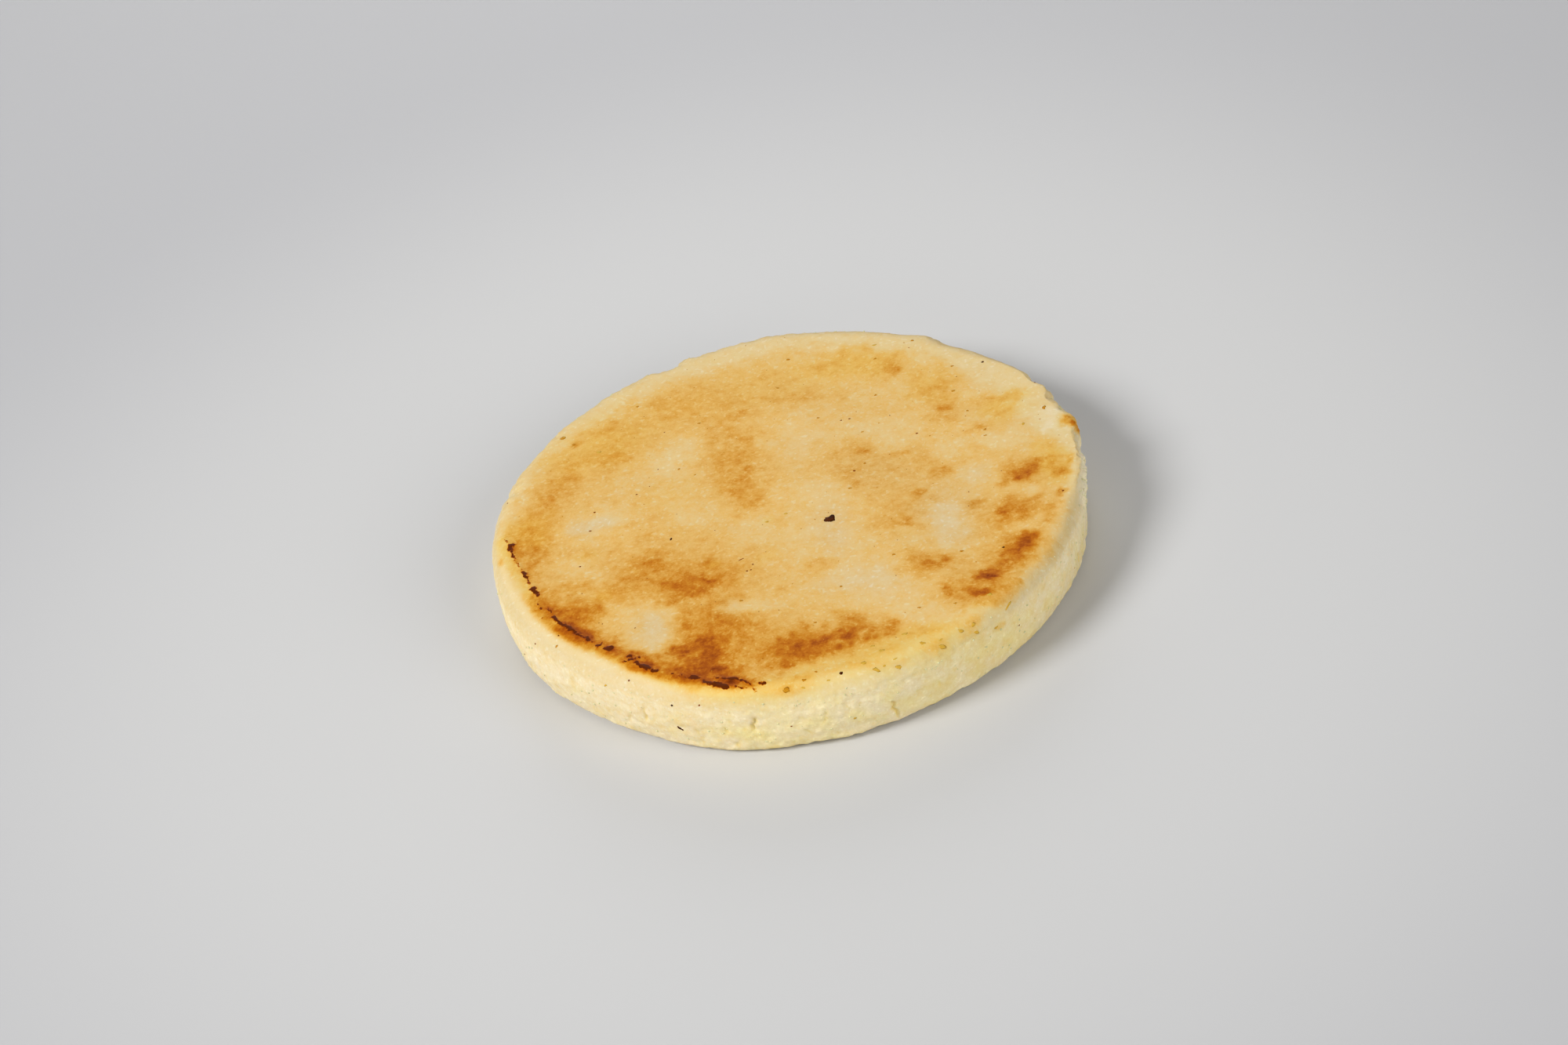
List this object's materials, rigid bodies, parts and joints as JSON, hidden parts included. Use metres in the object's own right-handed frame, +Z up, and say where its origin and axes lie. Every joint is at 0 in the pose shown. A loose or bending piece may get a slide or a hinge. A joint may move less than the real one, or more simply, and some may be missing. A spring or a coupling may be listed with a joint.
{
  "type": "arepa",
  "caption": "Round griddled corn flatbread, uncut and solid, with a flat browned top, a rounded shoulder and a pale crumbly side.",
  "frame": {"origin": "middle of the flat underside, at the middle of the part's box", "axes": "+Z up through the thickness, -Y towards the side seen in the picture"},
  "size_m": [0.1056, 0.1052, 0.0133],
  "materials": {
    "crust": "griddled corn dough: satin golden-brown top, glossy shoulder, matte cream side"
  },
  "bodies": {
    "root": {"arepa": "crust"}
  },
  "joints": []
}
